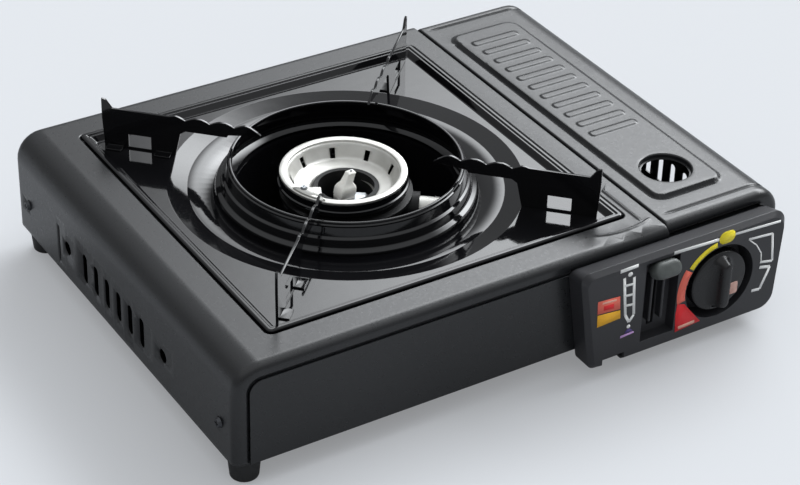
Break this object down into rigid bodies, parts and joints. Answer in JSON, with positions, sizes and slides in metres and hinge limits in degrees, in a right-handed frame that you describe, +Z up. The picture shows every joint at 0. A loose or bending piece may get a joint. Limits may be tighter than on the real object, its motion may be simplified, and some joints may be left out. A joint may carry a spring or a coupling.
{
  "type": "portable gas stove",
  "caption": "Tabletop butane stove: sheet case with a hinged lid over the cartridge bay, drip pan with pot supports, ring burner, ignition knob and cartridge lock lever.",
  "frame": {"origin": "on the ground under the middle of the outline", "axes": "+X to the right along the front, +Y to the back, +Z up"},
  "size_m": [0.3436, 0.28, 0.0999],
  "materials": {
    "case_paint": "charcoal powder coat, satin",
    "enamel": "gloss black enamel",
    "alloy": "cast and turned, bright",
    "plated_steel": "zinc plated",
    "zinc": "die cast",
    "brass": "turned",
    "black_plastic": "moulded, fine grain",
    "knob_plastic": "moulded, half gloss",
    "pointer_plastic": "moulded",
    "white_plastic": "moulded",
    "red_plastic": "moulded",
    "porcelain": "glazed",
    "wire_cover": "silicone",
    "rubber": "moulded"
  },
  "bodies": {
    "case": {"body_shell": "case_paint", "front_panel": "case_paint", "rear_panel": "case_paint", "right_wall": "case_paint", "base_plate": "case_paint", "partition": "case_paint", "lid_hinge_pins": "plated_steel", "case_screws": "plated_steel", "burner_bowl": "enamel", "burner_bracket": "plated_steel", "bracket_screws": "plated_steel", "burner_base": "alloy", "burner_head": "alloy", "burner_tab": "alloy", "burner_screws": "plated_steel", "mixing_tube": "alloy", "injector": "brass", "electrode_holder": "plated_steel", "electrode_insulator": "porcelain", "electrode_pin": "plated_steel", "ignition_wire": "wire_cover", "wire_grommet": "rubber", "regulator_body": "zinc", "regulator_cover": "zinc", "regulator_screws": "plated_steel", "regulator_bracket": "plated_steel", "cartridge_guide": "plated_steel", "piezo_igniter": "white_plastic", "piezo_clip": "plated_steel", "shaft_bearings": "plated_steel", "lever_spring": "plated_steel", "spring_post": "plated_steel", "control_panel": "black_plastic", "panel_screws": "plated_steel", "heat_plate": "alloy", "bay_guides": "plated_steel", "foot_front_left": "rubber", "foot_front_right": "rubber", "foot_back_left": "rubber", "foot_back_right": "rubber", "foot_screws": "plated_steel"},
    "lid": {"cartridge_lid": "case_paint"},
    "pan": {"drip_pan": "enamel", "wind_collar": "enamel", "pan_support_left": "enamel", "pan_support_right": "enamel", "pan_support_back": "enamel", "pan_support_front": "enamel"},
    "knob": {"valve_spindle": "brass", "igniter_cam": "white_plastic", "gas_knob": "knob_plastic", "knob_pointer": "pointer_plastic"},
    "plunger": {"igniter_plunger": "red_plastic"},
    "lever": {"lock_lever": "knob_plastic", "lever_shaft": "plated_steel"},
    "latch": {"latch_yoke": "plated_steel"}
  },
  "joints": [
    {"name": "pan_lift", "type": "slide", "parent": "case", "child": "pan", "axis": [0, 0, 1], "range_m": [0, 0.06]},
    {"name": "lid_hinge", "type": "hinge", "parent": "case", "child": "lid", "pos_m": [0.1665, 0.011, 0.049], "axis": [0, 1, 0], "range_deg": [0, 95]},
    {"name": "knob_turn", "type": "hinge", "parent": "case", "child": "knob", "pos_m": [0.117, -0.115, 0.039], "axis": [0, -1, 0], "range_deg": [0, 135]},
    {"name": "igniter_press", "type": "slide", "parent": "case", "child": "plunger", "axis": [1, 0, 0], "range_m": [0, 0.00401]},
    {"name": "lever_swing", "type": "hinge", "parent": "case", "child": "lever", "pos_m": [0.077, -0.104, 0.042], "axis": [1, 0, 0], "range_deg": [0, 60], "stiffness_Nm_per_rad": 0.05, "springref_deg": -11.46, "deforming": ["lever_spring"]},
    {"name": "latch_slide", "type": "slide", "parent": "case", "child": "latch", "axis": [0, -1, 0], "range_m": [0, 0.00501]}
  ],
  "couplings": [
    {"joint": "igniter_press", "follows": "knob_turn", "m_per_rad": 0.0016977},
    {"joint": "latch_slide", "follows": "lever_swing", "m_per_rad": 0.0047746}
  ]
}
